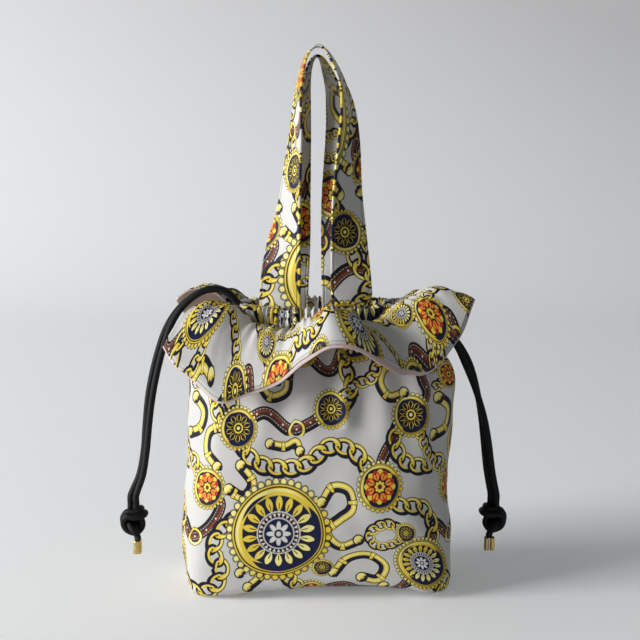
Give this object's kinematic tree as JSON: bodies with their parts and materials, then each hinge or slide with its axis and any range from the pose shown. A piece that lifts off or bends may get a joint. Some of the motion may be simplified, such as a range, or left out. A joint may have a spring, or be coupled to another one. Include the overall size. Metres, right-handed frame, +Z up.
{
  "type": "drawstring pouch handbag",
  "caption": "Soft boxed drawstring pouch of printed satin with a lined flounce at the neck, flat strap handles and knotted black cords with brass tips.",
  "frame": {"origin": "the middle of the flat of the base, where the pouch stands", "axes": "+Z up towards the handles, -Y the front, +X to the right seen from the front"},
  "size_m": [0.3283, 0.1936, 0.449],
  "materials": {
    "printed_satin": "satin woven cloth, light grey ground with a gold, navy and brown print of chains and medallions",
    "pink_lining": "plain woven pinkish beige lining",
    "black_cord": "smooth round black cord with a soft sheen",
    "brass_tips": "thin crimped brass tube"
  },
  "bodies": {
    "root": {"outer_body": "printed_satin", "body_lining": "pink_lining", "front_casing": "printed_satin", "back_casing": "printed_satin", "front_frill": "printed_satin", "front_frill_lining": "pink_lining", "back_frill": "printed_satin", "back_frill_lining": "pink_lining", "front_handle": "printed_satin", "back_handle": "printed_satin", "left_drawstring": "black_cord", "right_drawstring": "black_cord", "left_front_tail": "black_cord", "left_back_tail": "black_cord", "right_front_tail": "black_cord", "right_back_tail": "black_cord", "left_knot": "black_cord", "right_knot": "black_cord", "left_front_end": "black_cord", "left_back_end": "black_cord", "right_front_end": "black_cord", "right_back_end": "black_cord", "left_front_tip": "brass_tips", "left_back_tip": "brass_tips", "right_front_tip": "brass_tips", "right_back_tip": "brass_tips"}
  },
  "joints": []
}
